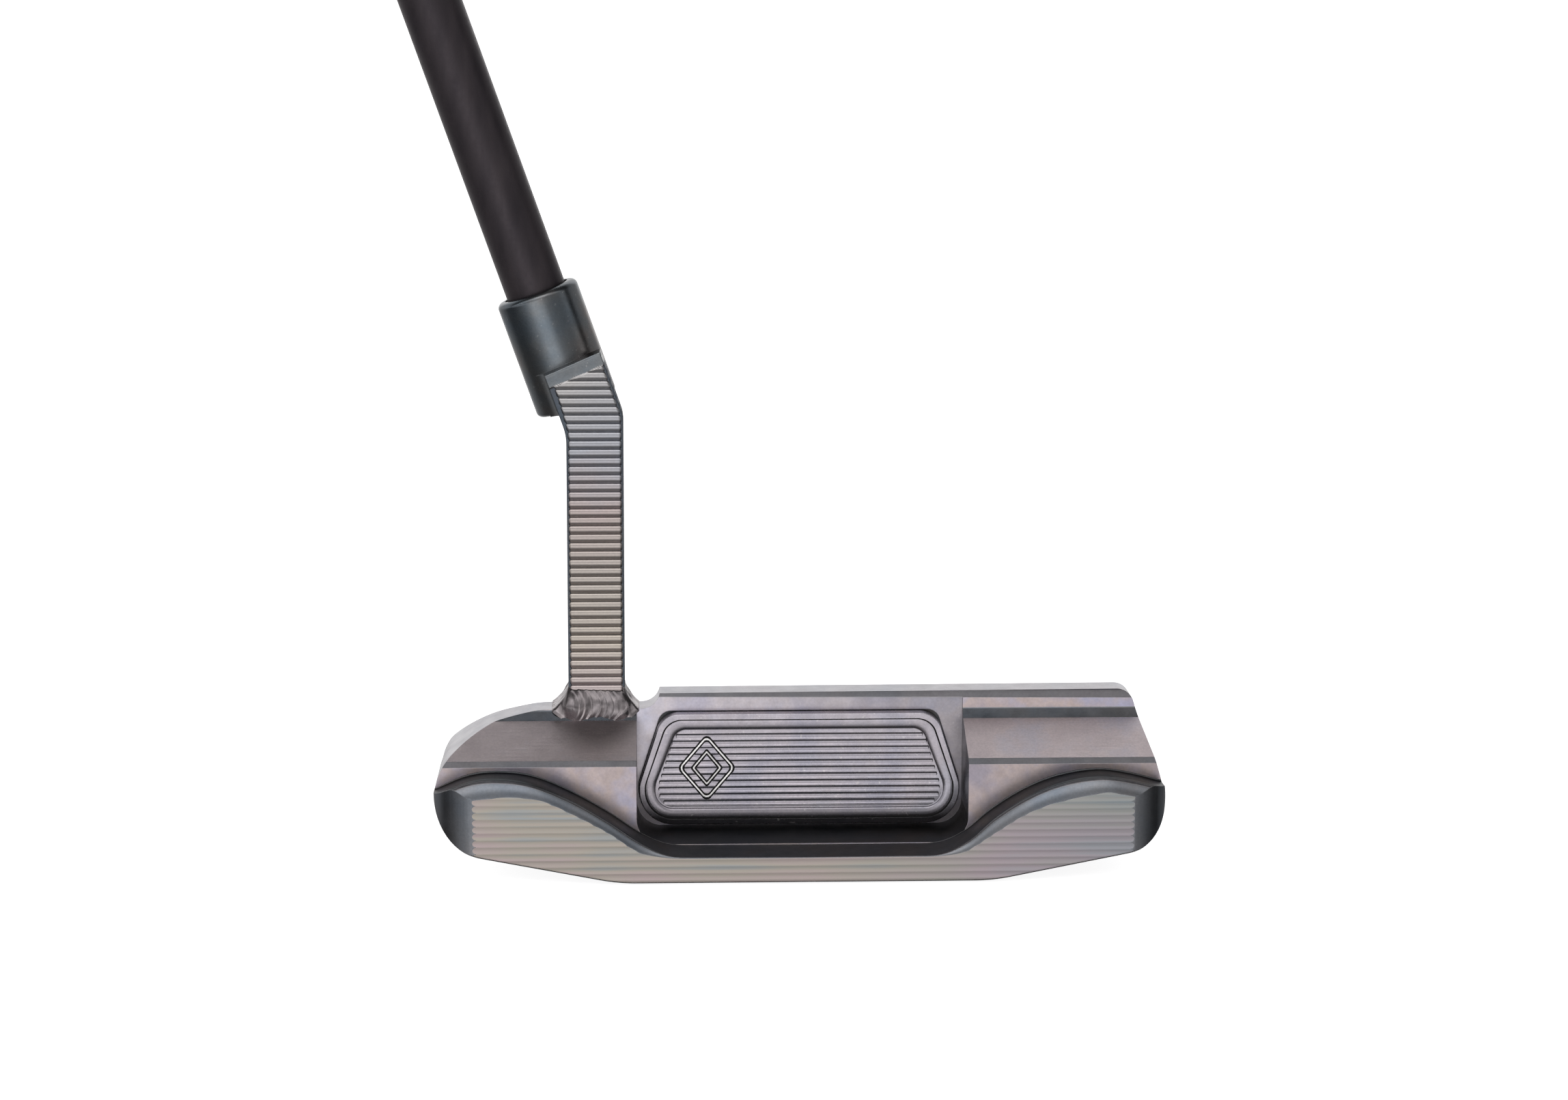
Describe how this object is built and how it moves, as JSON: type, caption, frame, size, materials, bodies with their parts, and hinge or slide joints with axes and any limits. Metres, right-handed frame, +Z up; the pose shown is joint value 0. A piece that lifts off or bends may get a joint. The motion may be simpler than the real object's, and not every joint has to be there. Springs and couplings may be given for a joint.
{
  "type": "blade putter",
  "caption": "Right-handed milled blade putter with a welded ribbed plumber's neck, a stepped cavity with a ribbed pad, a tapered steel shaft and a pistol grip.",
  "frame": {"origin": "middle of the flat of the sole, on the ground plane", "axes": "+Z up off the ground with the putter at address, +X from the heel to the toe, +Y from the cavity towards the face and the target"},
  "size_m": [0.3708, 0.0423, 0.8181],
  "materials": {
    "head_steel": "milled carbon steel with a brown and grey oil-blackened finish",
    "pad_steel": "ball-milled steel ribs with a lavender-grey oxide tint",
    "bonding_film": "thin double-sided acrylic film",
    "neck_steel": "milled ribs with a blue-grey and brown heat tint, satin sleeve",
    "weld_steel": "rippled weld bead",
    "shaft_black": "satin black coated steel",
    "epoxy": "cured shaft epoxy",
    "grip_tape": "double-sided paper grip tape",
    "grip_rubber": "moulded black rubber with a fine dimple texture"
  },
  "bodies": {
    "root": {"head_body": "head_steel", "cavity_pad": "pad_steel", "pad_adhesive": "bonding_film", "neck": "neck_steel", "neck_weld": "weld_steel", "shaft": "shaft_black", "shaft_epoxy": "epoxy", "grip_tape": "grip_tape", "grip": "grip_rubber"}
  },
  "joints": []
}
